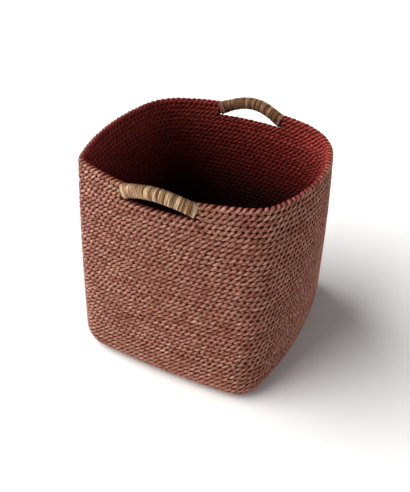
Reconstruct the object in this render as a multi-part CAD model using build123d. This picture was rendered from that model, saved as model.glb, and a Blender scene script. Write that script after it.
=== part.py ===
"""Open-top storage basket of coiled rope with two wrapped handles, in millimetres, +Z up.

The floor is at z = 0 and the origin is under the middle of the basket. -Y is the front, +X the right.
Every course of rope is a closed ring whose four long faces are shared with its neighbours.
"""

import math
import os

from build123d import *

# Overall shape. Corners run front_left, front_right, back_right, back_left.
# Sides run front, right, back, left.
RIM_WIDTH = 322.0  # between the rim's left and right corner points
RIM_DEPTH = 257.0
FOOT_WIDTH = 342.0  # the same for the wall carried down to the floor
FOOT_DEPTH = 368.0
RIM_BOWS = (37.5, 38.5, 42.5, 26.0)  # how far each side stands out past its two corner points
FOOT_BOWS = (9.0, 24.0, 1.6, 1.5)
BELLY_BOWS = (-3.6, 6.0, 1.0, -3.6)  # extra bow at half height
RIM_RADII = (18.0, 61.0, 129.0, 87.0)
FOOT_RADII = (64.0, 48.0, 61.0, 58.0)
RIM_SHIFT = (8.0, -7.3)  # the rim's middle from the foot's, as the basket leans a little

# Rope and its courses
ROPE = 9.2  # thickness of the rope, and so of the wall and the base
COURSE = 9.2  # height of one course in the wall
WALL_COURSES = 36
EDGE_COURSES = 4  # courses that climb the rounded bottom edge
EDGE_RADIUS = 28.8  # outside radius of the bottom edge
BASE_TURNS = 16  # flat turns round the middle of the base
TURNS_PER_NODE = 2
MIDDLE_SHARE = 0.6  # half the width of the folded rope in the middle of the base, in turns
TIGHTEST_TURN = 9.0  # smallest corner radius that the rope takes
STRAIGHTEST_BOW = 0.6  # smallest bow, so that every side stays an arc
ROUNDEST_SHARE = 0.9  # largest corner radius, as a share of the distance from the middle to a side
SAME_LEVEL = 0.001  # two outlines no further apart in height are level

# Handles
HANDLE_COURSES = 3  # top courses that gather into each handle
WRAP_LENGTH = 124.0
HANDLE_SHIFTS = (3.0, 6.5)  # of the front and the back handle from the middle of the rim towards +X
HANDLE_RISE = 13.5  # top of the arch above the rim
HANDLE_BOW = 6.0  # how far the arch stands out from the wall
ARCH_POWER = 1.1  # 2 makes the arch a gentle hump, 1 a full one
NECK_POWER = 0.6  # the same for the bar's cross-section, which slims quickly from both ends
BAR_HEIGHT = 20.5  # of the wrapped bar at the top of the arch
BAR_THICKNESS = 20.0
TWINE = 2.3  # thickness of the wrap
SEAT_GAP = 0.5  # between the wrap and the course that it sits on
BINDING_LENGTH = 4.0
BINDING_GAP = 0.8  # between a binding and the wrap
STATIONS = 12  # steps along a handle, shorter towards its ends, with a cross-section at each end of a step

HEIGHT = EDGE_RADIUS + WALL_COURSES * COURSE


# ---------------------------------------------------------------------------------------------- outline
def side_arc(start, end, bow, inset):
    """Centre and radius of a side's arc: it stands out by bow to the right of its chord, less the inset."""
    bow = max(bow, STRAIGHTEST_BOW)
    chord = end - start
    outward = Vector(chord.Y, -chord.X).normalized()
    radius = (chord.length**2 / 4 + bow**2) / (2 * bow)
    return (start + end) / 2 + outward * (bow - radius), radius - inset


def corner_centre(arc_a, arc_b, radius, corner):
    """Centre of the round that touches both arcs from inside, on the corner's side of them."""
    (centre_a, radius_a), (centre_b, radius_b) = arc_a, arc_b
    reach_a = radius_a - radius
    reach_b = radius_b - radius
    line = centre_b - centre_a
    apart = line.length
    along = (reach_a**2 - reach_b**2 + apart**2) / (2 * apart)
    across = math.sqrt(reach_a**2 - along**2)
    middle = centre_a + line * (along / apart)
    side = Vector(-line.Y, line.X) * (across / apart)
    return min(middle + side, middle - side, key=lambda point: (point - corner).length)


def blend(foot, rim, share, belly=(0.0, 0.0, 0.0, 0.0)):
    """Values between the foot's and the rim's, plus the belly's at half height."""
    swell = 4 * share * (1 - share)
    return [low + (high - low) * share + extra * swell for low, high, extra in zip(foot, rim, belly)]


def half_across(half_width, half_depth, bows):
    """Smallest distance from the middle to a side, with each pair of opposite bows shared out."""
    return min(half_depth + (bows[0] + bows[2]) / 2, half_width + (bows[1] + bows[3]) / 2)


def outline(height, inset):
    """Edges of the wall's outer face at a height, drawn in by inset: corner, side, corner, side, ..."""
    share = height / HEIGHT
    half_x, half_y = blend((FOOT_WIDTH / 2, FOOT_DEPTH / 2), (RIM_WIDTH / 2, RIM_DEPTH / 2), share)
    bows = blend(FOOT_BOWS, RIM_BOWS, share, BELLY_BOWS)
    room = ROUNDEST_SHARE * (half_across(half_x, half_y, bows) - inset)
    radii = blend(FOOT_RADII, RIM_RADII, share)
    radii = [min(max(radius - inset, TIGHTEST_TURN), room) for radius in radii]
    corners = [Vector(x * half_x, y * half_y) for x, y in ((-1, -1), (1, -1), (1, 1), (-1, 1))]
    arcs = [side_arc(corners[k], corners[(k + 1) % 4], bows[k], inset) for k in range(4)]
    centres = [corner_centre(arcs[k - 1], arcs[k], radii[k], corners[k]) for k in range(4)]
    shift = Vector(RIM_SHIFT[0] * share, RIM_SHIFT[1] * share, height)

    def on_arc(arc, towards):
        return arc[0] + (towards - arc[0]).normalized() * arc[1]

    edges = []
    for k in range(4):
        following = (k + 1) % 4
        enters = on_arc(arcs[k - 1], centres[k])
        leaves = on_arc(arcs[k], centres[k])
        ends = on_arc(arcs[k], centres[following])
        turn = centres[k] + ((enters + leaves) / 2 - centres[k]).normalized() * radii[k]
        belly = on_arc(arcs[k], (leaves + ends) / 2)
        edges.append(ThreePointArc(enters + shift, turn + shift, leaves + shift))
        edges.append(ThreePointArc(leaves + shift, belly + shift, ends + shift))
    return edges


def middle_of_plan():
    """Middle of the plan of the whole wall, so that the origin can stand under it."""
    levels = [EDGE_RADIUS + COURSE * k for k in range(WALL_COURSES + 1)]
    box = Compound(children=[Wire(outline(level, 0.0)) for level in levels]).bounding_box()
    return Vector((box.min.X + box.max.X) / 2, (box.min.Y + box.max.Y) / 2)


MIDDLE = middle_of_plan()


def placed(edges):
    """The same edges with the middle of the plan moved to the origin."""
    return [edge.moved(Location(-MIDDLE)) for edge in edges]


# ---------------------------------------------------------------------------------------------- courses
def band(first, second):
    """Faces between two outlines: one flat face where they are level, else one for each pair of edges."""
    if math.isclose(first[0].center().Z, second[0].center().Z, abs_tol=SAME_LEVEL):
        inner, outer = sorted((Wire(first), Wire(second)), key=lambda wire: wire.length)
        return [Face(outer, [inner])]
    return [Face.make_surface_from_curves(edge_a, edge_b) for edge_a, edge_b in zip(first, second)]


def ring(corner_outlines):
    """Closed ring whose cross-section has the given outlines as its corners, in order round the section."""
    faces = []
    for first, second in zip(corner_outlines, corner_outlines[1:] + corner_outlines[:1]):
        faces += band(first, second)
    return Solid(Shell(faces))


def wall_course(index):
    """One course of the upright wall, counted from 0 just above the bottom edge."""
    low = EDGE_RADIUS + index * COURSE
    high = low + COURSE
    corners = [(low, 0.0), (high, 0.0), (high, ROPE), (low, ROPE)]
    return ring([placed(outline(height, inset)) for height, inset in corners])


def edge_course(index):
    """One course of the rounded bottom edge, counted from 0 beside the flat base."""
    step = math.pi / 2 / EDGE_COURSES
    corners = []
    for angle, radius in (
        (index * step, EDGE_RADIUS),
        ((index + 1) * step, EDGE_RADIUS),
        ((index + 1) * step, EDGE_RADIUS - ROPE),
        (index * step, EDGE_RADIUS - ROPE),
    ):
        corners.append((EDGE_RADIUS - radius * math.cos(angle), EDGE_RADIUS - radius * math.sin(angle)))
    return ring([placed(outline(height, inset)) for height, inset in corners])


def base_inset(turn):
    """How far the outer edge of a flat turn lies inside the wall; turn BASE_TURNS is the middle's edge."""
    across = half_across(FOOT_WIDTH / 2, FOOT_DEPTH / 2, FOOT_BOWS) - EDGE_RADIUS
    return EDGE_RADIUS + across * turn / (BASE_TURNS + MIDDLE_SHARE)


def base_turn(turn):
    """One flat turn of the base, counted from 0 at the outside."""
    corners = [(0.0, base_inset(turn)), (ROPE, base_inset(turn)), (ROPE, base_inset(turn + 1))]
    corners.append((0.0, base_inset(turn + 1)))
    return ring([placed(outline(height, inset)) for height, inset in corners])


def base_middle():
    """The folded start of the rope in the middle of the base."""
    low = Wire(placed(outline(0.0, base_inset(BASE_TURNS))))
    high = Wire(placed(outline(ROPE, base_inset(BASE_TURNS))))
    return Solid.make_loft([low, high], ruled=True)


# ---------------------------------------------------------------------------------------------- handles
class HandleLine:
    """The path of one handle along the middle of the front (side 0) or back (side 2) wall."""

    def __init__(self, side):
        shift = HANDLE_SHIFTS[0] if side == 0 else HANDLE_SHIFTS[1]
        edge = placed(outline(HEIGHT, ROPE / 2))[2 * side + 1]
        self.centre = edge.arc_center
        self.radius = edge.radius
        facing = -1 if side == 0 else 1
        self.turns = -facing
        off_centre = RIM_SHIFT[0] - MIDDLE.X + shift - self.centre.X
        self.start_angle = math.atan2(facing * math.sqrt(self.radius**2 - off_centre**2), off_centre)

    def station(self, along):
        """Plane square to the handle's plan at a distance along the rim from the handle's middle."""
        angle = self.start_angle + self.turns * along / self.radius
        outward = Vector(math.cos(angle), math.sin(angle))
        tangent = Vector(-math.sin(angle), math.cos(angle)) * self.turns
        swell = arch(along, ARCH_POWER)
        low = HEIGHT - HANDLE_COURSES * COURSE + SEAT_GAP
        end_half = (HANDLE_COURSES * COURSE - SEAT_GAP) / 2
        top_centre = HEIGHT + HANDLE_RISE - BAR_HEIGHT / 2
        level = low + end_half + (top_centre - low - end_half) * swell
        place = self.centre + outward * (self.radius + HANDLE_BOW * swell)
        return Plane(Vector(place.X, place.Y, level), x_dir=outward, z_dir=tangent)


def arch(along, power):
    """0 at the handle's ends, 1 at its middle."""
    return max(math.cos(math.pi * along / WRAP_LENGTH), 0.0) ** power


def bar(line, reach, skin):
    """Handle bar over the length from -reach to reach, drawn in by skin all round."""
    sections = []
    for step in range(STATIONS + 1):
        along = -reach * math.cos(math.pi * step / STATIONS)
        swell = arch(along, NECK_POWER)
        end_height = HANDLE_COURSES * COURSE - SEAT_GAP
        end_thickness = ROPE + 2 * TWINE
        tall = end_height + (BAR_HEIGHT - end_height) * swell - 2 * skin
        thick = end_thickness + (BAR_THICKNESS - end_thickness) * swell - 2 * skin
        section = Edge.make_ellipse(thick / 2, tall / 2, line.station(along))
        sections.append(Wire([section]))
    return Solid.make_loft(sections)


def between(line, solid, low, high):
    """The stretch of a bar between two distances along the rim."""
    size = 2 * (HANDLE_COURSES * COURSE + BAR_HEIGHT + BAR_THICKNESS)
    kept = solid
    for along, sign in ((low, -1), (high, 1)):
        plane = line.station(along)
        cutter = Solid.extrude(Face(Wire.make_rect(size, size, plane)), plane.z_dir * sign * WRAP_LENGTH)
        kept = kept - cutter
    return kept


def handle_gap(line):
    """Space that the handle takes out of the top courses, from the course under the hand slot upwards."""
    reach = WRAP_LENGTH / 2
    depth = 2 * (ROPE + BAR_THICKNESS)
    points = []
    for along in (-reach, reach):
        plane = line.station(along)
        ends = [plane.origin - plane.x_dir * depth, plane.origin + plane.x_dir * depth]
        points.append([Vector(end.X, end.Y, HEIGHT - HANDLE_COURSES * COURSE) for end in ends])
    left, right = points
    plan = Face(Wire.make_polygon([left[0], left[1], right[1], right[0]], close=True))
    return Solid.extrude(plan, Vector(0, 0, HANDLE_COURSES * COURSE + HANDLE_RISE))


def handle_parts(side_name, side):
    """Core, wrap and end bindings of one handle, each under the name of its node."""
    line = HandleLine(side)
    reach = WRAP_LENGTH / 2
    core = bar(line, reach, TWINE)
    skin = bar(line, reach, 0.0) - core
    wrap_reach = reach - BINDING_LENGTH - BINDING_GAP
    parts = {f"{side_name}_handle_core": core}
    parts[f"{side_name}_handle_wrap"] = between(line, skin, -wrap_reach, wrap_reach)
    parts[f"{side_name}_handle_left_binding"] = between(line, skin, -reach, BINDING_LENGTH - reach)
    parts[f"{side_name}_handle_right_binding"] = between(line, skin, reach - BINDING_LENGTH, reach)
    return parts


# ------------------------------------------------------------------------------------------------ basket
def basket():
    """Every piece of the basket under the name of its node."""
    parts = {"base_centre": [base_middle()]}
    for first in range(0, BASE_TURNS, TURNS_PER_NODE):
        turns = range(first, min(first + TURNS_PER_NODE, BASE_TURNS))
        node = f"base_turns_{first // TURNS_PER_NODE + 1:02d}"
        parts[node] = [base_turn(turn) for turn in turns]
    for index in range(EDGE_COURSES):
        parts[f"edge_course_{index + 1:02d}"] = [edge_course(index)]
    gaps = [handle_gap(HandleLine(side)) for side in (0, 2)]
    for index in range(WALL_COURSES):
        if index < WALL_COURSES - HANDLE_COURSES:
            parts[f"wall_course_{index + 1:02d}"] = [wall_course(index)]
        else:
            cut = wall_course(index) - gaps[0] - gaps[1]
            parts[f"rim_course_{index + 1:02d}"] = cut.solids()
    for side_name, side in (("front", 0), ("back", 2)):
        for node, piece in handle_parts(side_name, side).items():
            parts[node] = piece.solids()
    return parts


def main():
    """Write one STEP file for each node."""
    os.makedirs("parts", exist_ok=True)
    for node, solids in basket().items():
        shape = solids[0] if len(solids) == 1 else Compound(children=solids)
        export_step(shape, f"parts/{node}.step")
        print(node, len(solids), round(sum(solid.volume for solid in solids)))


main()
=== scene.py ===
"""Looks of the coiled rope basket: rope courses, wound handles, floor, light and camera."""
import logging
import math
from dataclasses import dataclass, field
from enum import Enum

import bpy
import numpy as np
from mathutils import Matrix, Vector
from mathutils.bvhtree import BVHTree


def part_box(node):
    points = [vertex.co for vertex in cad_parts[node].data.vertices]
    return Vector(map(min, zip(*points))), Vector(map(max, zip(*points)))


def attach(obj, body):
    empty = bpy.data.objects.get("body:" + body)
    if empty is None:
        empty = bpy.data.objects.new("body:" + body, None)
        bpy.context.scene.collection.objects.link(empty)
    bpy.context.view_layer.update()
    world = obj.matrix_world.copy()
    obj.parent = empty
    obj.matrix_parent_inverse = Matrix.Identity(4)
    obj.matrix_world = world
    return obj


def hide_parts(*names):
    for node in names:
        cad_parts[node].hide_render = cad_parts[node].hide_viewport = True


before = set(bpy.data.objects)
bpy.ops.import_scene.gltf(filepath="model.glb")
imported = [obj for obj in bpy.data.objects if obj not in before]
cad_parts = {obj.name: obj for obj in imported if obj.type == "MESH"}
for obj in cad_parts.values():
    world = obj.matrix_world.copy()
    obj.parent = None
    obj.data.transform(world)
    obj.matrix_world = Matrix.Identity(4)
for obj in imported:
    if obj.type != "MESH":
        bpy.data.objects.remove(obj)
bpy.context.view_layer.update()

LOG = logging.getLogger("basket")
Array = np.ndarray
Rng = np.random.Generator
Socket = bpy.types.NodeSocket
Colour = tuple[float, float, float, float]
Stops = tuple[tuple[float, Colour], ...]

TURN = 2 * math.pi
WHITE: Colour = (1.0, 1.0, 1.0, 1.0)
BLACK: Colour = (0.0, 0.0, 0.0, 1.0)
AT_RIM = 0.5  # the inner number, which sets the painted shade of the inside, of what faces the inside at the rim; it is 1 at the foot
EDGE_GAIN = 1.5  # how fast the inner number grows from a rope's outside to its inside
SWING_LIMIT = 1.6  # how many times its usual size a random swing may reach
SPACING = 0.0015  # distance between the points of a middle line that is read from the CAD
FEWEST = 4  # points that an unbroken part of a ring has at least


class Lay(Enum):
    """Which way the strands of a rope turn about it, as the right-hand rule counts."""

    LEFT = -1
    RIGHT = 1


class Facing(Enum):
    """The side of the basket that a handle is on."""

    FRONT = "front"
    BACK = "back"


# ---- node trees and finishes ----
class Tree:
    """A material's node tree with short calls to add and join nodes."""

    def __init__(self, name: str) -> None:
        """Make an empty material.

        Args:
            name: the material's name.
        """
        self.material = bpy.data.materials.new(name)
        self.material.use_nodes = True
        self.nodes = self.material.node_tree.nodes
        self.links = self.material.node_tree.links
        self.nodes.clear()

    def add(self, kind: str, **values: object) -> bpy.types.Node:
        """Add a node and set its properties or inputs.

        Args:
            kind: the node's type, without the ShaderNode prefix.
            **values: property names, or input names with spaces as underscores.

        Returns:
            The node.
        """
        node = self.nodes.new("ShaderNode" + kind)
        for key, value in values.items():
            if hasattr(node, key):
                setattr(node, key, value)
            else:
                node.inputs[key.replace("_", " ")].default_value = value
        return node

    def feed(self, target: Socket, value: Socket | float | Colour) -> None:
        """Set an input, or join an output to it.

        Args:
            target: the input.
            value: a number, a colour or an output's socket.
        """
        if isinstance(value, Socket):
            self.links.new(value, target)
        else:
            target.default_value = value

    def attribute(self, name: str) -> Socket:
        """Return the number that the mesh holds under a name."""
        return self.add("Attribute", attribute_name=name).outputs["Fac"]

    def along_strand(self) -> Socket:
        """Return the place along and round the strand, in metres."""
        return self.add("UVMap", uv_map="strand").outputs["UV"]

    def ramp(self, source: Socket, stops: Stops) -> Socket:
        """Turn a number into a colour.

        Args:
            source: the number's socket.
            stops: positions and their colours, lowest first.

        Returns:
            The colour's socket.
        """
        node = self.add("ValToRGB")
        band = node.color_ramp
        while len(band.elements) < len(stops):
            band.elements.new(0.5)
        for element, (position, colour) in zip(band.elements, stops):
            element.position = position
            element.color = colour
        self.feed(node.inputs["Fac"], source)
        return node.outputs["Color"]

    def mix(
        self,
        share: Socket | float,
        first: Socket | Colour,
        second: Socket | Colour,
        way: str = "MIX",
    ) -> Socket:
        """Mix two colours.

        Args:
            share: how much of the second, a socket or a number.
            first: the first colour, a socket or a value.
            second: the second colour, a socket or a value.
            way: the blend type.

        Returns:
            The mixed colour's socket.
        """
        node = self.add("Mix", data_type="RGBA", blend_type=way)
        for index, value in ((0, share), (6, first), (7, second)):
            self.feed(node.inputs[index], value)
        return node.outputs[2]

    def calc(self, way: str, *values: Socket | float) -> Socket:
        """Work out one number from others.

        Args:
            way: the Math node's operation.
            *values: sockets or numbers, in the node's order.

        Returns:
            The result's socket.
        """
        node = self.add("Math", operation=way)
        for socket, value in zip(node.inputs, values):
            self.feed(socket, value)
        return node.outputs[0]


@dataclass(frozen=True)
class RopeFinish:
    """Jute dyed unevenly: rust-red strands with stretches left redder, paler or more olive.

    Attributes:
        name: the material's name.
        rust: colour of the darker stretches.
        pale: colour of the lighter stretches.
        red: colour of the stretches with a high hue.
        olive: colour of the stretches with a low hue.
        shadow: painted shadow colour, deep between the strands.
        inner: painted shade: what the side that faces the inside is multiplied by, near the rim,
            making it darker and redder.
        deeper: the same painted shade, darker, a third of the way down.
        bottom: the same painted shade, darkest, from half of the way down.
        inner_at: the inner numbers at which these three hold.
        tint: how strongly the red and olive stretches show.
        most_tint: the most that they may cover.
        shadow_from: crest below which the painted shadow is full.
        shadow_to: crest above which there is no painted shadow.
        fibre_light: what low and high fibres multiply the colour by.
        tuft_light: the same for tufts of fibres.
        tuft_width: thickness of a tuft of fibres.
        tuft_length: length of a tuft of fibres.
        fibre_pitch: thickness of a fibre.
        fibre_length: length of a fibre.
        yarn_pitch: distance across a strand from one yarn to the next.
        yarn_lay: length of strand in which the yarns move on by one.
        yarn_share: how much of the fibres' height comes from the yarns.
        roughness: of the surface.
        sheen: its weight, from stray fibres.
        sheen_roughness: how widely the sheen spreads.
        specular: how strongly the surface mirrors.
        bump: strength of the fibres' relief.
        bump_height: height of the fibres' relief.
    """

    name: str
    rust: Colour = (0.270, 0.086, 0.054, 1.0)
    pale: Colour = (0.470, 0.265, 0.195, 1.0)
    red: Colour = (0.300, 0.028, 0.016, 1.0)
    olive: Colour = (0.320, 0.205, 0.085, 1.0)
    shadow: Colour = (0.075, 0.0060, 0.003, 1.0)
    # painted shade of the inside: darker and redder, and darker still towards the foot
    inner: Colour = (0.90, 0.28, 0.29, 1.0)
    deeper: Colour = (0.62, 0.11, 0.12, 1.0)
    bottom: Colour = (0.10, 0.020, 0.022, 1.0)
    inner_at: tuple[float, float, float] = (AT_RIM, 0.64, 0.76)
    tint: float = 1.5
    most_tint: float = 0.85
    shadow_from: float = 0.35
    shadow_to: float = 0.86
    fibre_light: Stops = ((0.25, (0.62, 0.55, 0.52, 1.0)), (0.75, (1.30, 1.34, 1.38, 1.0)))
    tuft_light: Stops = ((0.36, (0.50, 0.40, 0.37, 1.0)), (0.64, (1.45, 1.62, 1.70, 1.0)))
    tuft_width: float = 0.0016
    tuft_length: float = 0.0034
    fibre_pitch: float = 0.00045
    fibre_length: float = 0.005
    yarn_pitch: float = 0.001728
    yarn_lay: float = 0.0075
    yarn_share: float = 0.45
    roughness: float = 0.72
    sheen: float = 0.05
    sheen_roughness: float = 0.5
    specular: float = 0.25
    bump: float = 0.6
    bump_height: float = 0.0004

    def material(self) -> bpy.types.Material:
        """Build the finish.

        Returns:
            The material, which reads the tone, hue, crest and inner numbers of the mesh; the
            crest and inner numbers place its painted shadows and painted shade.
        """
        tree = Tree(self.name)
        fibres = self.fibres(tree)
        shader = tree.add(
            "BsdfPrincipled",
            Roughness=self.roughness,
            Specular_IOR_Level=self.specular,
            Sheen_Weight=self.sheen,
            Sheen_Roughness=self.sheen_roughness,
        )
        tree.feed(shader.inputs["Base Color"], self.colour(tree, fibres))
        bump = tree.add("Bump", Strength=self.bump, Distance=self.bump_height)
        tree.feed(bump.inputs["Height"], fibres)
        tree.feed(shader.inputs["Normal"], bump.outputs["Normal"])
        tree.feed(tree.add("OutputMaterial").inputs["Surface"], shader.outputs["BSDF"])
        return tree.material

    def colour(self, tree: Tree, fibres: Socket) -> Socket:
        """Dye, fibres, tufts, painted shade on the inside and painted shadows between the
        strands.

        Args:
            tree: the tree to build in.
            fibres: the socket of the fibres' height.

        Returns:
            The colour's socket.
        """
        base = tree.ramp(tree.attribute("tone"), ((0.2, self.rust), (0.8, self.pale)))
        hue = tree.attribute("hue")
        tint = tree.ramp(hue, ((0.35, self.olive), (0.65, self.red)))
        strength = tree.calc("ABSOLUTE", tree.calc("SUBTRACT", hue, 0.5))
        strength = tree.calc("MULTIPLY", strength, self.tint)
        base = tree.mix(tree.calc("MINIMUM", strength, self.most_tint), base, tint)
        tufts = self.noise(tree, self.tuft_length, self.tuft_width, 1.0)
        # painted shade: the side that faces the inside is made darker and redder, more so towards
        # the foot
        inside = tuple(zip(self.inner_at, (self.inner, self.deeper, self.bottom)))
        for source, stops in (
            (fibres, self.fibre_light),
            (tufts, self.tuft_light),
            (tree.attribute("inner"), ((0.0, WHITE), *inside)),
        ):
            base = tree.mix(1.0, base, tree.ramp(source, stops), "MULTIPLY")
        # painted shadow: the shadow colour is mixed in where the crest number is low, down the
        # grooves and at the seams
        shadows = ((self.shadow_from, WHITE), (self.shadow_to, BLACK))
        return tree.mix(tree.ramp(tree.attribute("crest"), shadows), base, self.shadow)

    def fibres(self, tree: Tree) -> Socket:
        """Fine fibres and yarns that run aslant along each strand.

        Args:
            tree: the tree to build in.

        Returns:
            The socket of the fibres' height, from 0 to 1.
        """
        noise = self.noise(tree, self.fibre_length, self.fibre_pitch, 3.0)
        parts = tree.add("SeparateXYZ")
        tree.feed(parts.inputs["Vector"], tree.along_strand())
        along = tree.calc("DIVIDE", parts.outputs["X"], self.yarn_lay)
        across = tree.calc("DIVIDE", parts.outputs["Y"], self.yarn_pitch)
        swing = tree.calc("SINE", tree.calc("MULTIPLY", tree.calc("ADD", along, across), TURN))
        yarns = tree.calc("MULTIPLY", tree.calc("ADD", swing, 1.0), 0.5 * self.yarn_share)
        return tree.calc("ADD", yarns, tree.calc("MULTIPLY", noise, 1 - self.yarn_share))

    def noise(self, tree: Tree, length: float, width: float, detail: float) -> Socket:
        """Noise drawn out along the strands.

        Args:
            tree: the tree to build in.
            length: typical size along a strand.
            width: typical size across it.
            detail: levels of finer noise.

        Returns:
            The noise's socket, from 0 to 1.
        """
        turned = tree.add("Mapping", Rotation=(0.0, 0.0, self.yarn_pitch / self.yarn_lay))
        turned.inputs["Scale"].default_value = (1 / length, 1 / width, 1.0)
        tree.feed(turned.inputs["Vector"], tree.along_strand())
        noise = tree.add("TexNoise", Scale=1.0, Detail=detail, Roughness=0.6)
        tree.feed(noise.inputs["Vector"], turned.outputs["Vector"])
        return noise.outputs["Fac"]


@dataclass(frozen=True)
class PaleFloor:
    """A plain pale studio floor.

    Attributes:
        name: the material's name.
        colour: its colour.
        roughness: of its surface.
    """

    name: str = "pale_floor"
    colour: Colour = (0.93, 0.93, 0.92, 1.0)
    roughness: float = 0.9

    def material(self) -> bpy.types.Material:
        """Build the floor's matt finish.

        Returns:
            The material.
        """
        tree = Tree(self.name)
        shader = tree.add("BsdfPrincipled", Roughness=self.roughness, Base_Color=self.colour)
        tree.feed(tree.add("OutputMaterial").inputs["Surface"], shader.outputs["BSDF"])
        return tree.material


# ---- geometry ----
@dataclass
class Path:
    """A line in space with an outward direction at each point.

    Attributes:
        points: positions, one row each.
        outward: unit vectors away from the basket's middle, square to the line.
        closed: whether the last point joins the first.
    """

    points: Array
    outward: Array
    closed: bool

    def length(self) -> float:
        """Length of the line, with its closing step."""
        ends = np.roll(self.points, -1, 0) if self.closed else self.points[1:]
        return float(np.linalg.norm(ends - self.points[: len(ends)], axis=1).sum())

    def distances(self) -> Array:
        """Distance of each point from the first, along the line."""
        steps = np.linalg.norm(np.diff(self.points, axis=0), axis=1)
        return np.concatenate([[0.0], np.cumsum(steps)])

    def marks(self) -> Array:
        """Distance of each point from the first, and then the line's length."""
        return np.append(self.distances(), self.length())

    def tangents(self) -> Array:
        """Unit vectors along the line.

        Returns:
            One row for each point.
        """
        if self.closed:
            return unit(np.roll(self.points, -1, 0) - np.roll(self.points, 1, 0))
        return unit(np.gradient(self.points, axis=0))

    def at(self, places: Array) -> "Path":
        """The same line with its points elsewhere.

        Args:
            places: their distances along the line.

        Returns:
            The new path.
        """
        points, outward, reach = self.points, self.outward, self.distances()
        if self.closed:
            points, outward = (np.vstack([rows, rows[:1]]) for rows in (points, outward))
            reach = self.marks()
        points, outward = (between(places, reach, rows) for rows in (points, outward))
        return Path(points, unit(outward), self.closed)


def unit(vectors: Array) -> Array:
    """Scale each row to length 1."""
    return vectors / np.linalg.norm(vectors, axis=-1, keepdims=True)


def ease(share: Array) -> Array:
    """Ease numbers from 0 to 1 in and out."""
    return share * share * (3 - 2 * share)


def bulged(share: Array, power: float | Array) -> Array:
    """Raise numbers from -1 to 1 to a power and keep their signs."""
    return np.sign(share) * np.abs(share) ** power


def facing_in(reach: Array) -> Array:
    """How much of a rope's side faces the inside, 0 to 1, from its reach inward of -1 to 1."""
    return np.clip(0.5 + EDGE_GAIN * reach, 0, 1)


def around(sides: int) -> Array:
    """Angles of a ring's vertices."""
    return TURN * np.arange(sides) / sides


def same_all_round(numbers: Array, sides: int) -> Array:
    """Give each ring of vertices one number, from 0 to 1."""
    return np.repeat(np.clip(numbers, 0, 1)[:, None], sides, axis=1)


def between(places: Array, reach: Array, rows: Array) -> Array:
    """Rows at places along a line, from the rows at the distances in reach."""
    return np.stack([np.interp(places, reach, column) for column in rows.T], axis=1)


def smooth_noise(rng: Rng, places: Array, span: float, scale: float) -> Array:
    """Seeded smooth noise along a line that closes on itself after span.

    Args:
        rng: where the random numbers come from.
        places: distances along the line.
        span: the line's length.
        scale: typical length of one swing.

    Returns:
        Values of about -1 to 1.
    """
    waves = max(int(span / scale), 2)
    total = np.zeros_like(places)
    for count in range(1, waves + 1):
        total += np.sin(TURN * (count * places / span + rng.random())) * rng.normal()
    return total / math.sqrt(waves / 2) / SWING_LIMIT


@dataclass(frozen=True)
class Swing:
    """How much something hand-made varies along its length.

    Attributes:
        size: how far it swings to either side.
        scale: typical length of one swing.
    """

    size: float
    scale: float

    def along(self, rng: Rng, places: Array, span: float) -> Array:
        """The swing at places along a line of length span."""
        return self.size * smooth_noise(rng, places, span, self.scale)


def resample(points: Array, closed: bool) -> Array:
    """Points evenly spaced along a line.

    Args:
        points: the line's own points.
        closed: whether the line closes.

    Returns:
        The new points.
    """
    ring = np.vstack([points, points[:1]]) if closed else points
    steps = np.linalg.norm(np.diff(ring, axis=0), axis=1)
    reach = np.concatenate([[0.0], np.cumsum(steps)])
    count = max(int(round(reach[-1] / SPACING)), FEWEST)
    stops = count if closed else count + 1
    return between(np.linspace(0.0, reach[-1], stops, endpoint=not closed), reach, ring)


def softened(points: Array, rounds: int) -> Array:
    """Even out a closed line's small facets.

    Args:
        points: the line's points, evenly spaced.
        rounds: how many times each point moves to the middle of itself and its neighbours.

    Returns:
        The softened points.
    """
    for _ in range(rounds):
        points = (np.roll(points, 1, 0) + 2 * points + np.roll(points, -1, 0)) / 4
    return points


def runs_of(rows: list[Array | None]) -> list[Array]:
    """Split a ring with gaps into its unbroken parts.

    Args:
        rows: points in order, with None in the gaps.

    Returns:
        One array of evenly spaced points for each part.
    """
    first_gap = next(k for k, row in enumerate(rows) if row is None)
    parts: list[list[Array]] = [[]]
    for row in rows[first_gap:] + rows[:first_gap]:
        if row is None:
            parts.append([])
        else:
            parts[-1].append(row)
    return [resample(np.array(part), False) for part in parts if len(part) >= FEWEST]


def finished_path(points: Array, closed: bool) -> Path:
    """Give a line its outward directions in plan.

    Args:
        points: the line's points, anticlockwise in plan.
        closed: whether it closes.

    Returns:
        The path.
    """
    along = Path(points, points, closed).tangents()
    outward = unit(np.stack([along[:, 1], -along[:, 0], np.zeros(len(along))], axis=1))
    return Path(points, outward, closed)


def tube_rings(path: Path, radius: float, wide: float, sides: int) -> Array:
    """Oval rings square to a path, with the first side facing outward.

    Args:
        path: the tube's middle.
        radius: half its thickness along outward.
        wide: half its thickness square to that.
        sides: vertices in each ring.

    Returns:
        Vertices, as station by side by coordinate.
    """
    along = path.tangents()
    across = unit(np.cross(along, path.outward))
    outward = np.cross(across, along)
    angles = around(sides)
    lift = radius * np.cos(angles)[None, :, None] * outward[:, None, :]
    spread = wide * np.sin(angles)[None, :, None] * across[:, None, :]
    return path.points[:, None, :] + lift + spread


def swollen(rings: Array, middle: Array, size: Array) -> Array:
    """Move a tube's vertices away from its middle.

    Args:
        rings: vertices, as station by side by coordinate.
        middle: the tube's middle at each station.
        size: how many times as far, as station by side.

    Returns:
        The moved vertices.
    """
    return middle[:, None, :] + (rings - middle[:, None, :]) * size[:, :, None]


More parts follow.
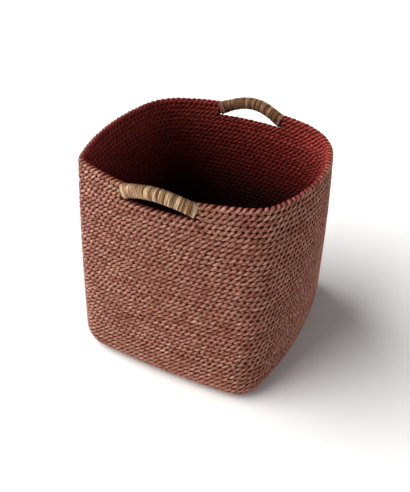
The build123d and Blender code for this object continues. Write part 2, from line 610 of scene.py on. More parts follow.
class StrandMesh:
    """Collects tubes, with the numbers that their finish reads, into one mesh."""

    def __init__(self) -> None:
        """Start with nothing."""
        self.vertices: list[Array] = []
        self.faces: list[Array] = []
        self.uvs: list[Array] = []
        self.caps: list[list[int]] = []
        self.values: dict[str, list[Array]] = {"tone": [], "hue": [], "crest": [], "inner": []}
        self.count = 0

    def tube(
        self,
        rings: Array,
        closed: bool,
        lengths: Array,
        girth: float,
        values: dict[str, Array],
    ) -> None:
        """Add one tube.

        Args:
            rings: vertices, as station by side by coordinate.
            closed: whether the last ring joins the first.
            lengths: distance of each ring along the tube, with one more entry if it closes.
            girth: distance round the tube.
            values: the finish's numbers, as station by side.
        """
        stations, sides = rings.shape[:2]
        index = np.arange(stations * sides).reshape(stations, sides) + self.count
        here = index if closed else index[:-1]
        there = np.roll(index, -1, 0) if closed else index[1:]
        quads = np.stack([here, np.roll(here, -1, 1), np.roll(there, -1, 1), there], axis=-1)
        self.faces.append(quads.reshape(-1, 4))
        along = np.repeat(lengths[: len(here)], sides).reshape(len(here), sides)
        ahead = np.repeat(lengths[1 : len(here) + 1], sides).reshape(len(here), sides)
        near = np.tile(np.arange(sides) * girth / sides, (len(here), 1))
        far = near + girth / sides
        corners = [(along, near), (along, far), (ahead, far), (ahead, near)]
        uvs = np.stack([np.stack(corner, -1) for corner in corners], axis=2)
        self.uvs.append(uvs.reshape(-1, 2))
        if not closed:
            self.caps += [list(index[0][::-1]), list(index[-1])]
        self.vertices.append(rings.reshape(-1, 3))
        for key, store in self.values.items():
            store.append(values[key].reshape(-1))
        self.count += stations * sides

    def piece(self, name: str, node: str, slot: str, material: bpy.types.Material) -> None:
        """Make the piece, smooth shaded, in the place of a CAD node.

        Args:
            name: the piece's name.
            node: the CAD node that it stands for.
            slot: not used.
            material: that finish.
        """
        vertices = np.concatenate(self.vertices)
        quads = np.concatenate(self.faces)
        caps = np.array([corner for cap in self.caps for corner in cap], np.int64)
        mesh = bpy.data.meshes.new(name)
        mesh.vertices.add(len(vertices))
        mesh.vertices.foreach_set("co", vertices.astype(np.float32).ravel())
        mesh.loops.add(quads.size + len(caps))
        corners = np.concatenate([quads.ravel(), caps]).astype(np.int32)
        mesh.loops.foreach_set("vertex_index", corners)
        mesh.polygons.add(len(quads) + len(self.caps))
        cap_starts = np.cumsum([quads.size, *map(len, self.caps)])[:-1]
        starts = np.concatenate([np.arange(len(quads)) * 4, cap_starts])
        mesh.polygons.foreach_set("loop_start", starts.astype(np.int32))
        mesh.polygons.foreach_set("use_smooth", np.ones(len(starts), bool))
        mesh.update(calc_edges=True)
        mesh.validate()
        layer = mesh.uv_layers.new(name="strand")
        uvs = np.zeros((len(mesh.loops), 2), np.float32)
        uvs[: quads.size] = np.concatenate(self.uvs)
        layer.data.foreach_set("uv", uvs.ravel())
        for key, store in self.values.items():
            attribute = mesh.attributes.new(key, "FLOAT", "POINT")
            attribute.data.foreach_set("value", np.concatenate(store).astype(np.float32))
        mesh.materials.append(material)
        piece = bpy.data.objects.new(name, mesh)
        bpy.context.scene.collection.objects.link(piece)
        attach(piece, "root")
        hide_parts(node)


@dataclass(frozen=True)
class Rope:
    """A laid rope of two strands.

    Attributes:
        radius: outside radius over the strands.
        strand_radius: half a strand's thickness, out from the rope's middle.
        strand_width: half a strand's width, round the rope.
        groove_depth: how fast the painted shadow deepens down the grooves between strands.
        seam_depth: how much faster it does so where they meet the next course.
        flatness: below 1, the rope is pressed flat against its neighbours; 1 leaves it round.
        light_above: height above which the painted shade of the inside is as light as at the rim;
            below it that shade grows darker towards the foot.
        lay_length: length of rope in which a strand goes once round.
        lay: which way the strands turn.
        strands: how many there are.
        stations: rings of vertices in one lay length.
        fewest: rings that even a short rope has.
        sides: vertices in each ring.
        fibre_shift: how far the fibres of a strand are moved on from those of the one before.
        shared_tone: unevenness of the tone, the same in all strands.
        shared_hue: the same of the hue.
        turning: unevenness of the turning, in radians.
        looseness: unevenness of a strand's distance from the rope's middle.
        swelling: unevenness of a strand's thickness.
        own_tone: unevenness of one strand's tone.
        own_hue: the same of its hue.
        heart_tone: tone of the heart.
        heart_sides: vertices in each ring of the heart.
    """

    radius: float = 0.00485
    strand_radius: float = 0.0024
    strand_width: float = 0.0027
    groove_depth: float = 0.5
    seam_depth: float = 1.9
    flatness: float = 0.45
    light_above: float = 0.33
    lay_length: float = 0.0192
    lay: Lay = Lay.LEFT
    strands: int = 2
    stations: int = 16
    fewest: int = 6
    sides: int = 10
    fibre_shift: float = 0.37
    shared_tone: Swing = Swing(0.08, 0.06)
    shared_hue: Swing = Swing(0.05, 0.045)
    turning: Swing = Swing(0.22, 0.02)
    looseness: Swing = Swing(0.05, 0.015)
    swelling: Swing = Swing(0.07, 0.012)
    own_tone: Swing = Swing(0.15, 0.012)
    own_hue: Swing = Swing(0.09, 0.015)
    heart_tone: float = 0.1
    heart_sides: int = 8

    def build(
        self,
        mesh: StrandMesh,
        path: Path,
        seed: int,
        hue_at: Array | None = None,
        pinch_at: Array | None = None,
    ) -> None:
        """Lay the strands along a path.

        Args:
            mesh: where the strands are added.
            path: the rope's middle; its points are evened out again here.
            seed: fixes this stretch's colours and unevenness.
            hue_at: extra hue for each point of the path, or None.
            pinch_at: the rope's size at each point as a share of its full size, or None.
        """
        rng = np.random.default_rng(seed)
        total = path.length()
        lays = total / self.lay_length
        if path.closed:
            lays = max(round(lays), 1)
        count = max(int(round(lays * self.stations)), self.fewest)
        spots = np.linspace(0.0, total, count, endpoint=not path.closed)
        line = path.at(spots)
        upward = unit(np.cross(line.outward, line.tangents()))
        if upward[0, 2] < 0:
            upward = -upward
        own = path.distances()
        extra = 0.0 if hue_at is None else np.interp(spots, own, hue_at)
        pinch = np.ones(count) if pinch_at is None else np.interp(spots, own, pinch_at)
        shared_tone = self.shared_tone.along(rng, spots, total)
        shared_hue = self.shared_hue.along(rng, spots, total)
        start = rng.random() * TURN
        uneven = self.turning.along(rng, spots, total)
        for strand in range(self.strands):
            turn = TURN * (spots / total * lays + strand / self.strands)
            angle = start - self.lay.value * turn + uneven
            spoke = np.cos(angle)[:, None] * line.outward + np.sin(angle)[:, None] * upward
            loose = pinch * (1 + self.looseness.along(rng, spots, total))
            swell = pinch * (1 + self.swelling.along(rng, spots, total))
            tone = 0.5 + shared_tone + self.own_tone.along(rng, spots, total)
            hue = 0.5 + shared_hue + self.own_hue.along(rng, spots, total) + extra
            centre = line.points + spoke * ((self.radius - self.strand_radius) * loose)[:, None]
            bent = Path(centre, spoke, path.closed)
            rings = tube_rings(bent, self.strand_radius, self.strand_width, self.sides)
            rings = self.pressed(swollen(rings, centre, swell[:, None]), line, pinch)
            values = self.numbers(rings, line, upward, tone, hue)
            steps = np.linspace(0.0, total, count + 1) + strand * self.fibre_shift + rng.random()
            mesh.tube(rings, path.closed, steps, TURN * self.strand_radius, values)

    def numbers(
        self, rings: Array, line: Path, upward: Array, tone: Array, hue: Array
    ) -> dict[str, Array]:
        """The numbers that a strand's finish reads.

        Args:
            rings: the strand's vertices, as station by side by coordinate.
            line: the rope's middle.
            upward: the direction up the wall at each station.
            tone: the strand's tone there.
            hue: its hue there.

        Returns:
            The numbers by name, as station by side.
        """
        arms = rings - line.points[:, None, :]
        seam = np.abs((arms * upward[:, None, :]).sum(-1)) / self.radius
        inward = -(arms * line.outward[:, None, :]).sum(-1) / self.radius
        crest = (1 + np.cos(around(self.sides)))[None, :] / 2
        height = np.clip(line.points[:, 2] / self.light_above, 0, 1)[:, None]
        return {
            "tone": same_all_round(tone, self.sides),
            "hue": same_all_round(hue, self.sides),
            # crest: painted shadow mask, low down the grooves and lowest at the seams between
            # courses
            "crest": 1 - (1 - crest) * (self.groove_depth + self.seam_depth * seam * seam),
            # inner: painted shade of the inside, growing towards the foot
            "inner": facing_in(inward) * (1 - (1 - AT_RIM) * height),
        }

    def pressed(self, rings: Array, line: Path, pinch: Array) -> Array:
        """Fill the corners between courses, as ropes do that are sewn tightly together.

        Args:
            rings: a strand's vertices, as station by side by coordinate.
            line: the rope's middle.
            pinch: the rope's size at each station as a share of its full size.

        Returns:
            The moved vertices.
        """
        outward = line.outward[:, None, :]
        full = (self.radius * pinch)[:, None]
        reach = ((rings - line.points[:, None, :]) * outward).sum(-1) / full
        return rings + ((bulged(reach, self.flatness) - reach) * full)[:, :, None] * outward

    def heart(self, mesh: StrandMesh, path: Path, tall: float, thick: float, sink: float) -> None:
        """Lay the flat heart, painted wholly in the shadow colour, that closes the rope's middle
        and the seam to the next course.

        Args:
            mesh: where it is added.
            path: the rope's middle.
            tall: its height.
            thick: its thickness through the wall.
            sink: how far it sits below the rope's middle.
        """
        rings = tube_rings(path, thick / 2, tall / 2, self.heart_sides)
        rings = rings - np.array([0.0, 0.0, sink])
        # crest 0 gives the heart the full painted shadow colour
        levels = {"tone": self.heart_tone, "hue": 0.5, "crest": 0.0, "inner": 0.0}
        values = {key: np.full(rings.shape[:2], level) for key, level in levels.items()}
        mesh.tube(rings, path.closed, path.marks(), tall, values)


# ---- reading the frame ----
class RingReader:
    """Finds the middle lines of a ring-shaped CAD node by rays cast from the basket's middle."""

    ANGLES = 720
    LEVELS = 5
    THINNEST = 1e-4
    ROUNDS = 3

    def __init__(self, node: str) -> None:
        """Read a node.

        Args:
            node: its name.
        """
        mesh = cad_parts[node].data
        corners = [v.co.copy() for v in mesh.vertices]
        self.tree = BVHTree.FromPolygons(corners, [tuple(p.vertices) for p in mesh.polygons])
        self.low, self.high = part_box(node)
        self.middle = (self.low + self.high) / 2
        self.reach = (self.high - self.low).length

    def span(self, angle: float, level: float) -> tuple[float, float] | None:
        """Distances from the middle to the inner and the outer face.

        Args:
            angle: direction in plan.
            level: height.

        Returns:
            The two distances, or None where the node is open.
        """
        direction = Vector((math.cos(angle), math.sin(angle), 0.0))
        start = Vector((self.middle.x, self.middle.y, level))
        near = self.tree.ray_cast(start, direction, self.reach)
        far = self.tree.ray_cast(start + direction * self.reach, -direction, self.reach)
        if near[0] is None or far[0] is None:
            return None
        return near[3], self.reach - far[3]

    def lines(self, turns: int = 1) -> list[Path]:
        """Middle lines of the node's turns, from the outside in.

        Args:
            turns: how many turns of rope the node holds side by side.

        Returns:
            A closed path for each turn, or one open path for each part of a ring with gaps.
        """
        tall = self.high.z - self.low.z
        levels = [self.low.z + tall * (k + 0.5) / self.LEVELS for k in range(self.LEVELS)]
        found: list[list[Array | None]] = [[] for _ in range(turns)]
        for angle in around(self.ANGLES):
            spans = [(level, self.span(angle, level)) for level in levels]
            spans = [(level, *pair) for level, pair in spans if pair is not None]
            spans = [row for row in spans if row[2] - row[1] > self.THINNEST]
            if not spans:
                for rows in found:
                    rows.append(None)
                continue
            heights, near, far = np.array(spans).T
            weights = far - near
            level = (weights * heights).sum() / weights.sum()
            for turn, rows in enumerate(found):
                share = 1 - (turn + 0.5) / turns
                reach = (weights * (near + weights * share)).sum() / weights.sum()
                rows.append(np.array([math.cos(angle) * reach, math.sin(angle) * reach, level]))
        shift = np.array([self.middle.x, self.middle.y, 0.0])
        paths = []
        for rows in found:
            if all(row is not None for row in rows):
                ring = resample(np.array(rows) + shift, True)
                paths.append(finished_path(softened(ring, self.ROUNDS), True))
            else:
                paths += [finished_path(part + shift, False) for part in runs_of(rows)]
        return paths


class BarReader:
    """Finds the middle line and the size of a handle bar from its CAD nodes."""

    END = 0.0028
    SECTIONS = 90
    DEGREE = 8

    def __init__(self, nodes: list[str]) -> None:
        """Read the nodes.

        Args:
            nodes: names of the nodes that make up the bar.
        """
        starts, ends = [], []
        for node in nodes:
            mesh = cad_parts[node].data
            rows = np.array([v.co[:] for v in mesh.vertices])
            edges = np.array([e.vertices[:] for e in mesh.edges])
            starts.append(rows[edges[:, 0]])
            ends.append(rows[edges[:, 1]])
        self.starts, self.ends = np.concatenate(starts), np.concatenate(ends)
        self.low = float(self.starts[:, 0].min())
        self.high = float(self.starts[:, 0].max())
        self.curves = self.fitted()

    def section(self, x: float) -> tuple[Array, Array]:
        """Lowest and highest corner of the bar's section at an X.

        Args:
            x: where the bar is cut.

        Returns:
            The two corners.
        """
        before, after = self.starts[:, 0] - x, self.ends[:, 0] - x
        cut = before * after < 0
        share = before[cut] / (before[cut] - after[cut])
        points = self.starts[cut] + (self.ends[cut] - self.starts[cut]) * share[:, None]
        return points.min(0), points.max(0)

    def fitted(self) -> dict[str, Array]:
        """Smooth curves along X fitted to the bar's middle and size.

        Returns:
            Polynomials for the middle's y and z, the height and the thickness.
        """
        places = np.linspace(self.low + self.END, self.high - self.END, self.SECTIONS)
        corners = [self.section(x) for x in places]
        low = np.array([pair[0] for pair in corners])
        high = np.array([pair[1] for pair in corners])
        found = {"y": (low + high)[:, 1] / 2, "z": (low + high)[:, 2] / 2}
        found |= {"tall": (high - low)[:, 2], "thick": (high - low)[:, 1]}
        shares = self.scaled(places)
        return {key: np.polyfit(shares, values, self.DEGREE) for key, values in found.items()}

    def scaled(self, x: Array) -> Array:
        """Places along X as shares of the bar's length from its middle."""
        return (x - (self.low + self.high) / 2) / (self.high - self.low)

    def at(self, x: Array) -> tuple[Array, Array, Array, Array]:
        """The bar at places along X.

        Args:
            x: the places.

        Returns:
            Middle points, unit vectors along the bar, and its height and thickness square to it.
        """
        share = self.scaled(x)
        rows = {key: np.polyval(curve, share) for key, curve in self.curves.items()}
        middle = np.stack([x, rows["y"], rows["z"]], axis=1)
        bends = [np.polyder(self.curves[key]) for key in ("y", "z")]
        slopes = [np.polyval(bend, share) / (self.high - self.low) for bend in bends]
        along = unit(np.stack([np.ones_like(x), *slopes], axis=1))
        level = np.hypot(along[:, 0], along[:, 1])
        return middle, along, rows["tall"] * level, rows["thick"] * np.abs(along[:, 0]) / level

    def lean(self, x: float) -> float:
        """How far an end face reaches past its middle, as the bar meets it at a slant in plan.

        Args:
            x: where the end face is.

        Returns:
            The distance along X.
        """
        place = np.clip(np.array([x]), self.low + self.END, self.high - self.END)
        _, along, _, thick = self.at(place)
        return float(abs(along[0, 1]) * thick[0] / 2)


# ---- sub-assemblies ----
@dataclass
class Coil:
    """One or more courses of rope that stand for CAD nodes of the same names.

    Attributes:
        label: what the courses are called in the log.
        prefix: start of the CAD nodes' names.
        slot: the name of a material slot, handed on to each piece.
        finish: their finish.
        turns: turns of rope in each node.
        tall: height of the rope's heart.
        thick: thickness of the rope's heart.
        sink: how far the heart sits below the rope's middle.
        end_cut: length at each end of an open course that is laid afresh, into the binding.
        lead_points: points in that length.
        gathering: how far its ends are from the binding's middle, as a share of before.
        squeeze: size of the rope at its ends as a share of its full size.
        patch_hue: extra hue in the middle of the patches beside the handles.
        patch_from: distance of their middle from the cut.
        patch_width: half their length.
        seed: fixes the courses' colours and unevenness.
        rope: the rope that they are laid from.
    """

    label: str
    prefix: str
    slot: str
    finish: RopeFinish
    turns: int = 1
    tall: float = 0.0096
    thick: float = 0.0042
    sink: float = 0.0
    end_cut: float = 0.005
    lead_points: int = 8
    gathering: float = 0.5
    squeeze: float = 0.6
    patch_hue: float = -0.22
    patch_from: float = 0.010
    patch_width: float = 0.011
    seed: int = 1
    rope: Rope = field(default_factory=Rope)

    def nodes(self) -> list[str]:
        """Names of the CAD nodes that these courses stand for, in order."""
        return sorted(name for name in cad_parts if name.startswith(self.prefix))

    def build(self) -> None:
        """Build one piece for each node."""
        material = self.finish.material()
        nodes = self.nodes()
        for number, node in enumerate(nodes):
            mesh = StrandMesh()
            for part, path in enumerate(RingReader(node).lines(self.turns)):
                self.course(mesh, path, 1000 * self.seed + 10 * number + part)
            mesh.piece(f"rope_{node}", node, self.slot, material)
        LOG.info("%s: %d pieces", self.label, len(nodes))

    def course(self, mesh: StrandMesh, path: Path, seed: int) -> None:
        """Lay one course and its heart.

        Args:
            mesh: where they are added.
            path: the course's middle line.
            seed: fixes its colours and unevenness.
        """
        if path.closed:
            self.rope.build(mesh, path, seed)
        self.rope.heart(mesh, path, self.tall, self.thick, self.sink)
        if not path.closed:
            path = self.tucked(path)
            self.rope.build(mesh, path, seed, self.patches(path), self.pinch(path))

    def tucked(self, path: Path) -> Path:
        """Lead both ends of an open course into the middles of the bindings beside them.

        Args:
            path: the course's middle line.

        Returns:
            The new path.
        """
        reach = path.distances()
        kept = (reach > self.end_cut) & (reach < reach[-1] - self.end_cut)
        points, outward = path.points[kept], path.outward[kept]
        boxes = [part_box(name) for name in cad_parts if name.endswith("_binding")]
        centres = np.array([((low + high) / 2)[:] for low, high in boxes])
        shares = np.linspace(0.0, 1.0, self.lead_points + 1)[1:, None]
        leads = []
        for end in (points[0], points[-1]):
            centre = centres[np.linalg.norm(centres - end, axis=1).argmin()]
            target = centre + (end - centre) * np.array([0.0, self.gathering, self.gathering])
            lead = end + (target - end) * shares
            lead[:, 2] = end[2] + (target[2] - end[2]) * ease(shares[:, 0])
            leads.append(lead)
        points = np.vstack([leads[0][::-1], points, leads[1]])
        first, last = (np.repeat(row, len(shares), 0) for row in (outward[:1], outward[-1:]))
        return Path(points, np.vstack([first, outward, last]), False)

    def from_ends(self, path: Path) -> Array:
        """Distance of each point of an open path from the nearer end."""
        reach = path.distances()
        return np.minimum(reach, reach[-1] - reach)

    def patches(self, path: Path) -> Array:
        """Extra hue at each point, where the twine's ends are worked in beside the handles."""
        away = self.from_ends(path) - (self.end_cut + self.patch_from)
        return self.patch_hue * np.exp(-((away / self.patch_width) ** 2))

    def pinch(self, path: Path) -> Array:
        """Share of its full size that the rope has at each point, squeezed into the handles."""
        share = ease(np.clip(self.from_ends(path) / self.end_cut, 0, 1))
        return self.squeeze + (1 - self.squeeze) * share


@dataclass
class BaseMiddle:
    """The start of the rope in the middle of the base, laid as a short straight length.

    Attributes:
        finish: its finish.
        node: the CAD node that it stands for.
        points: points of its middle line.
        seed: fixes its colours and unevenness.
    """

    finish: RopeFinish
    node: str = "base_centre"
    points: int = 9
    seed: int = 77

    def build(self) -> None:
        """Build the short straight end."""
        low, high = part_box(self.node)
        middle = (low + high) / 2
        half = (high.x - low.x) / 2
        points = np.tile(np.array(middle[:]), (self.points, 1))
        points[:, 0] += np.linspace(-half, half, self.points)
        outward = np.tile([0.0, -1.0, 0.0], (self.points, 1))
        mesh = StrandMesh()
        Rope().build(mesh, Path(points, outward, False), self.seed)
        mesh.piece("rope_base_centre", self.node, "base_rope", self.finish.material())
        LOG.info("base middle: 1 piece")


@dataclass(frozen=True)
class Twine:
    """Two-ply jute twine wound closely round a bar.

    Attributes:
        radius: half its thickness.
        pitch: distance from one turn to the next.
        oval: its width along the bar as a share of its thickness.
        stations: rings of vertices in one turn.
        sides: vertices in each ring.
        ply_depth: depth of the groove between its plies, as a share of the radius.
        ply_lay: length in which a ply goes once round.
        ply_shade: how much the finish darkens in that groove.
        squareness: below 1, the turns bulge towards a box; this is its value at the bar's ends.
        rounding: how far towards 1 it goes in the bar's middle.
        shoulder: length over which the bar grows rounder from its ends.
        slack: how unevenly the turns are pulled tight.
        aslant: how far a turn leans to either side, as a share of the pitch.
        tone: how far a turn's tone differs.
        hue: how far a turn's hue differs.
        streak: how far the tone swings along the twine.
        streak_length: shortest length of such a swing.
        most_streaks: the most swings along the whole twine.
        change: share of a turn, from its lowest point, over which it takes on its own look.
        evenness: size of the turns' usual difference.
    """

    radius: float = 0.00122
    pitch: float = 0.00226
    oval: float = 1.05
    stations: int = 48
    sides: int = 8
    ply_depth: float = 0.13
    ply_lay: float = 0.0042
    # ply_shade: how much painted shade darkens the finish in that groove.
    ply_shade: float = 0.45
    squareness: float = 0.55
    rounding: float = 0.7
    shoulder: float = 0.02
    slack: float = 0.022
    aslant: float = 0.16
    tone: float = 0.30
    hue: float = 0.25
    streak: float = 0.16
    streak_length: float = 0.012
    most_streaks: int = 80
    change: float = 0.25
    evenness: float = 0.7

    def wind(self, mesh: StrandMesh, bar: BarReader, start: float, end: float, seed: int) -> None:
        """Wind the twine round the bar along X, with one flat turn at each end.

        Args:
            mesh: where the twine is added.
            bar: the bar's middle and size.
            start: the lowest X of the first turn's middle.
            end: the highest X of the last turn's middle.
            seed: fixes the twine's colours and unevenness.
        """
        rng = np.random.default_rng(seed)
        turns = max(round((end - start) / self.pitch), 1)
        step = (end - start) / turns
        turns += 2
        count = turns * self.stations + 1
        x = np.clip(np.linspace(start - step, end + step, count), start, end)
        middle, along, tall, thick = bar.at(x)
        sideways = unit(np.cross(np.array([[0.0, 0.0, 1.0]]), along))
        upward = np.cross(along, sideways)
        angle = TURN * turns * np.linspace(0.0, 1.0, count) - math.pi / 2
        pull = 1 + self.slack * self.by_turn(rng, turns, count)
        near_end = np.clip(np.minimum(x - bar.low, bar.high - x) / self.shoulder, 0, 1)
        square = self.squareness + (1 - self.squareness) * near_end * self.rounding
        across, rise = bulged(np.cos(angle), square), bulged(np.sin(angle), square)
        spoke = sideways * ((thick / 2 - self.radius) * pull * across)[:, None]
        spoke = spoke + upward * ((tall / 2 - self.radius) * pull * rise)[:, None]
        lean = self.pitch * self.aslant * self.by_turn(rng, turns, count) * np.abs(np.cos(angle))
        path = Path(middle + spoke + along * lean[:, None], unit(spoke), False)
        lengths = path.marks()
        twist = TURN * lengths[:-1, None] / self.ply_lay
        plies = np.cos(2 * around(self.sides)[None, :] - twist)
        rings = tube_rings(path, self.radius, self.radius * self.oval, self.sides)
        rings = swollen(rings, path.points, 1 + self.ply_depth * plies)
        span = float(lengths[-1])
        streaks = Swing(self.streak, max(span / self.most_streaks, self.streak_length))
        tone = 0.5 + self.tone * self.by_turn(rng, turns, count)
        tone = tone + streaks.along(rng, lengths[:-1], span)
        hue = 0.5 + self.hue * self.by_turn(rng, turns, count)
        crest = (1 + np.cos(around(self.sides)))[None, :] / 2
        inward = -np.sign(middle[0, 1]) * (rings[:, :, 1] - middle[:, None, 1])
        values = {
            "tone": same_all_round(tone, self.sides),
            "hue": same_all_round(hue, self.sides),
            # crest: painted shadow, under the twine against the bar and in the groove between its
            # plies
            "crest": crest * (1 - self.ply_shade + self.ply_shade * (plies + 1) / 2),
            # inner: painted shade on the side of the handle that faces the basket's inside
            "inner": facing_in(inward / (thick / 2)[:, None]) * AT_RIM,
        }
        mesh.tube(rings, False, lengths, TURN * self.radius, values)

    def by_turn(self, rng: Rng, turns: int, count: int) -> Array:
        """A random value for each turn, eased from one turn to the next.

        Args:
            rng: where the random numbers come from.
            turns: how many turns.
            count: how many stations.

        Returns:
            Values of about -1 to 1, one for each station.
        """
        values = np.clip(rng.normal(size=turns + 2), -SWING_LIMIT, SWING_LIMIT) * self.evenness
        turn = np.linspace(0.0, turns, count)
        whole = np.floor(turn)
        eased = whole + ease(np.clip((turn - whole) / self.change, 0, 1))
        return np.interp(eased, np.arange(turns + 2), values)


@dataclass
class Handle:
    """A rim handle: a rope bar wound with twine, with a separate binding at each end.

    Attributes:
        facing: the side it is on.
        finish: the twine's finish.
        binding_finish: the finish of the last turns.
        core_finish: the finish of the rope inside, which shows as the painted shadow colour.
        twine: the twine of the wrap.
        binding: the thinner twine of the last turns.
        seed: fixes the twine's colours and unevenness.
    """

    facing: Facing
    finish: RopeFinish
    binding_finish: RopeFinish
    core_finish: RopeFinish
    twine: Twine = Twine()
    binding: Twine = Twine(radius=0.0010, pitch=0.0012)
    seed: int = 500

    def node(self, part: str) -> str:
        """Name of one of this handle's CAD nodes."""
        return f"{self.facing.value}_handle_{part}"

    def build(self) -> None:
        """Build the wrap, the two bindings and the core's finish."""
        parts = ("wrap", "left_binding", "right_binding")
        bar = BarReader([self.node(part) for part in (*parts, "core")])
        for number, part in enumerate(parts):
            low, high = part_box(self.node(part))
            twine, finish, slot = self.binding, self.binding_finish, "binding_twine"
            if part == "wrap":
                twine, finish, slot = self.twine, self.finish, "handle_twine"
            start = low.x + (twine.radius + (0.0 if part == "right_binding" else bar.lean(low.x)))
            end = high.x - (twine.radius + (0.0 if part == "left_binding" else bar.lean(high.x)))
            mesh = StrandMesh()
            twine.wind(mesh, bar, start, end, self.seed + number)
            mesh.piece(f"twine_{self.node(part)}", self.node(part), slot, finish.material())
        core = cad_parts[self.node("core")]
        core.data.materials.clear()
        core.data.materials.append(self.core_finish.material())
        LOG.info("%s handle: %d pieces", self.facing.value, len(parts) + 1)


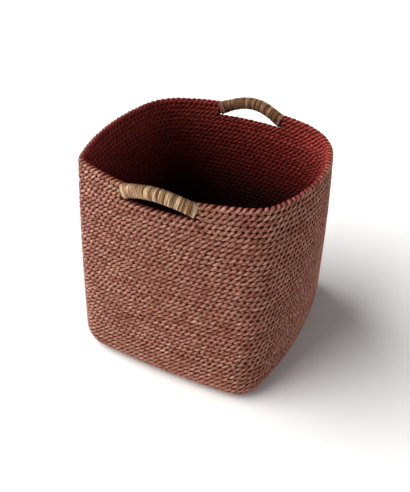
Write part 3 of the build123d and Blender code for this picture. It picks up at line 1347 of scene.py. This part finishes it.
# ---- studio ----
@dataclass
class Studio:
    """Floor, light and camera.

    Attributes:
        azimuth: the camera's direction from the front towards the right, in degrees.
        elevation: the camera's height angle, in degrees.
        distance: from the camera to the target.
        target: the point that the camera looks at.
        lens: focal length in millimetres.
        sensor: the sensor's width in millimetres.
        shift: the lens's shift, across and up.
        sight: how far the camera sees.
        floor_size: length of the floor's sides.
        floor_drop: how far the floor lies below the CAD's, for strands that bulge.
        key_turn: the key light's direction from the front towards the right, in degrees.
        key_rise: its height angle, in degrees.
        key_strength: its light on a surface that faces it.
        fill_turn: the fill light's direction.
        fill_rise: its height angle.
        fill_strength: its light.
        spread: how wide both lights look from the basket, in degrees.
        horizon: brightness of the surroundings at the horizon.
        zenith: their brightness above.
        horizon_to: height, from 0 to 1, up to which the horizon's brightness holds.
        zenith_from: height from which the zenith's holds.
        gamma: of the picture.
    """

    azimuth: float = 27.12
    elevation: float = 36.11
    distance: float = 1.1355
    target: tuple[float, float, float] = (-0.01494, 0.00311, 0.18)
    lens: float = 46.44
    sensor: float = 36.0
    shift: tuple[float, float] = (0.00131, -0.02781)
    sight: float = 50.0
    floor_size: float = 14.0
    floor_drop: float = 0.0007
    key_turn: float = -66.0
    key_rise: float = 36.0
    key_strength: float = 5.4
    fill_turn: float = 95.0
    fill_rise: float = 32.0
    fill_strength: float = 0.6
    spread: float = 80.0
    horizon: float = 1.0
    zenith: float = 0.05
    horizon_to: float = 0.18
    zenith_from: float = 0.52
    gamma: float = 0.8

    def build(self) -> None:
        """Build the floor, the lights and the camera."""
        self.floor()
        self.lights()
        self.camera()
        LOG.info("studio: floor, lights and camera")

    def floor(self) -> None:
        """A large pale floor that the basket stands on."""
        half = self.floor_size / 2
        mesh = bpy.data.meshes.new("floor")
        corners = [(-half, -half), (half, -half), (half, half), (-half, half)]
        mesh.from_pydata([(x, y, -self.floor_drop) for x, y in corners], [], [(0, 1, 2, 3)])
        mesh.materials.append(PaleFloor().material())
        made = bpy.data.objects.new("floor", mesh)
        bpy.context.scene.collection.objects.link(made)

    def lights(self) -> None:
        """A large soft key on the left, a weak fill on the right, and the surroundings."""
        self.lamp("key_light", self.key_turn, self.key_rise, self.key_strength)
        self.lamp("fill_light", self.fill_turn, self.fill_rise, self.fill_strength)
        bpy.context.scene.world = self.surroundings()
        bpy.context.scene.view_settings.view_transform = "Standard"
        bpy.context.scene.view_settings.gamma = self.gamma

    def lamp(self, name: str, turn: float, rise: float, strength: float) -> None:
        """Add a large soft lamp, far away.

        Args:
            name: its name.
            turn: its direction from the front towards the right, in degrees.
            rise: its height angle, in degrees.
            strength: its light on a surface that faces it.
        """
        light = bpy.data.lights.new(name, "SUN")
        light.energy = strength
        light.angle = math.radians(self.spread)
        made = bpy.data.objects.new(name, light)
        made.rotation_euler = self.towards(turn, rise).to_track_quat("Z", "Y").to_euler()
        bpy.context.scene.collection.objects.link(made)

    def surroundings(self) -> bpy.types.World:
        """A world that is pale at the horizon and dim above.

        Returns:
            The world.
        """
        world = bpy.data.worlds.new("studio")
        world.use_nodes = True
        nodes, links = world.node_tree.nodes, world.node_tree.links
        place = nodes.new("ShaderNodeTexCoord")
        parts = nodes.new("ShaderNodeSeparateXYZ")
        ramp = nodes.new("ShaderNodeValToRGB")
        ramp.color_ramp.interpolation = "EASE"
        stops = ((self.horizon_to, self.horizon), (self.zenith_from, self.zenith))
        for element, (position, level) in zip(ramp.color_ramp.elements, stops):
            element.position = position
            element.color = (level, level, level, 1.0)
        links.new(place.outputs["Generated"], parts.inputs["Vector"])
        links.new(parts.outputs["Z"], ramp.inputs["Fac"])
        links.new(ramp.outputs["Color"], nodes["Background"].inputs["Color"])
        return world

    @staticmethod
    def towards(turn: float, rise: float) -> Vector:
        """Unit vector from the basket towards a direction.

        Args:
            turn: degrees from the front towards the right.
            rise: degrees above the floor.

        Returns:
            The vector.
        """
        across, up = math.radians(turn), math.radians(rise)
        level = math.cos(up)
        return Vector((math.sin(across) * level, -math.cos(across) * level, math.sin(up)))

    def camera(self) -> None:
        """The camera, at the front right and above."""
        data = bpy.data.cameras.new("camera")
        data.sensor_width = self.sensor
        data.sensor_fit = "AUTO"
        data.lens = self.lens
        data.shift_x, data.shift_y = self.shift
        data.clip_end = self.sight
        away = self.towards(self.azimuth, self.elevation)
        made = bpy.data.objects.new("camera", data)
        made.location = Vector(self.target) + away * self.distance
        made.rotation_euler = (-away).to_track_quat("-Z", "Y").to_euler()
        bpy.context.scene.collection.objects.link(made)
        bpy.context.scene.camera = made


def wound(name: str, **dye: Colour | float) -> RopeFinish:
    """Finish of a twine, with long tufts, shallow painted shadows and painted shade on the side
    that faces the basket's inside.

    Args:
        name: the material's name.
        **dye: its colours and tint.

    Returns:
        The finish.
    """
    return RopeFinish(
        name,
        shadow=(0.05, 0.018, 0.005, 1.0),
        # painted shade on the twine's side that faces the basket's inside
        inner=(0.60, 0.48, 0.46, 1.0),
        tuft_length=0.03,
        tuft_width=0.004,
        yarn_share=0.15,
        shadow_to=0.5,
        **dye,
    )


def main() -> None:
    """Build every piece in order."""
    logging.basicConfig(level=logging.INFO, format="%(message)s")
    wall = RopeFinish("wall_rope_finish")
    base = RopeFinish("base_rope_finish")
    rim = RopeFinish("rim_rope_finish")
    twine = wound(
        "twine_finish",
        rust=(0.25, 0.125, 0.045, 1.0),
        pale=(0.62, 0.47, 0.32, 1.0),
        red=(0.36, 0.16, 0.04, 1.0),
        olive=(0.34, 0.23, 0.08, 1.0),
        tint=1.2,
    )
    binding = wound(
        "binding_finish",
        rust=(0.40, 0.28, 0.18, 1.0),
        pale=(0.56, 0.44, 0.32, 1.0),
        red=(0.42, 0.22, 0.12, 1.0),
        olive=(0.36, 0.30, 0.16, 1.0),
    )
    # the core mesh holds no crest numbers, so it shows as the painted shadow colour, a dark fill
    # in the gaps beside the bindings
    core = RopeFinish("core_finish", rust=(0.13, 0.045, 0.025, 1.0), pale=(0.20, 0.09, 0.06, 1.0))
    flat = {"turns": 2, "tall": 0.0042, "thick": 0.0098}
    Coil("base turns", "base_turns", "base_rope", base, seed=1, **flat).build()
    BaseMiddle(base).build()
    Coil("bottom edge", "edge_course", "wall_rope", wall, seed=2).build()
    Coil("wall", "wall_course", "wall_rope", wall, seed=3, sink=0.0021).build()
    Coil("rim", "rim_course", "rim_rope", rim, seed=4, sink=0.0021).build()
    for facing in Facing:
        Handle(facing, twine, binding, core).build()
    Studio().build()


if __name__ == "__main__":
    main()
